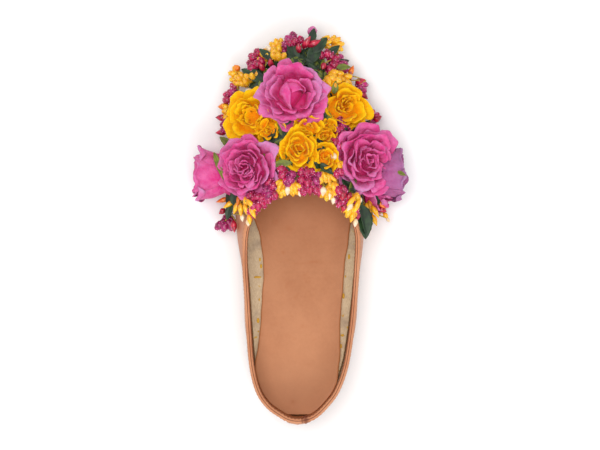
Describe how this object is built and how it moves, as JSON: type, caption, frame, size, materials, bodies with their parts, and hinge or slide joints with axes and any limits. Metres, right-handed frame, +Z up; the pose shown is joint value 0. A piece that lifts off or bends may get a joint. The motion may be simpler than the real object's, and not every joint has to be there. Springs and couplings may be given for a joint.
{
  "type": "mojari shoe",
  "caption": "Low slip-on leather mojari for the right foot with a rolled topline and a vamp covered in fabric roses, buds and leaves.",
  "frame": {"origin": "on the floor, at the middle of the heel's tread", "axes": "+Y towards the toe, +Z up, +X towards the little-toe side of the right foot"},
  "size_m": [0.1393, 0.2669, 0.0628],
  "materials": {
    "upper_leather": "smooth tan",
    "binding_leather": "rolled and stitched",
    "sole_leather": "matt",
    "insole_leather": "unfinished cream",
    "sock_leather": "smooth tan",
    "rose_fabric": "soft satin petals, dark in the folds",
    "yellow_fabric": "soft satin petals, orange at the heart",
    "leaf_fabric": "veined cloth",
    "bud_magenta": "glittered",
    "bud_crimson": "glittered",
    "bud_gold": "glittered"
  },
  "bodies": {
    "root": {"outsole": "sole_leather", "heel": "sole_leather", "insole_board": "insole_leather", "sock": "sock_leather", "upper": "upper_leather", "topline_binding": "binding_leather", "back_strip": "upper_leather", "rose_centre": "rose_fabric", "rose_left": "rose_fabric", "rose_right": "rose_fabric", "rose_left_side": "rose_fabric", "rose_right_side": "rose_fabric", "yellow_left": "yellow_fabric", "yellow_right": "yellow_fabric", "yellow_centre": "yellow_fabric", "yellow_centre_small": "yellow_fabric", "yellow_upper": "yellow_fabric", "leaf_toe_right": "leaf_fabric", "leaf_toe_left": "leaf_fabric", "leaf_left": "leaf_fabric", "leaf_left_low": "leaf_fabric", "leaf_right_low": "leaf_fabric", "leaf_right_side": "leaf_fabric", "spray_toe": "bud_magenta", "spray_toe_right": "bud_magenta", "spray_right_far": "bud_magenta", "spray_right": "bud_crimson", "spray_toe_left": "bud_magenta", "spray_left_far": "bud_gold", "spray_left": "bud_magenta", "spray_left_low": "bud_gold", "spray_right_low": "bud_gold", "spray_throat_left": "bud_gold", "spray_throat_right": "bud_crimson", "spray_inner": "bud_magenta"}
  },
  "joints": []
}
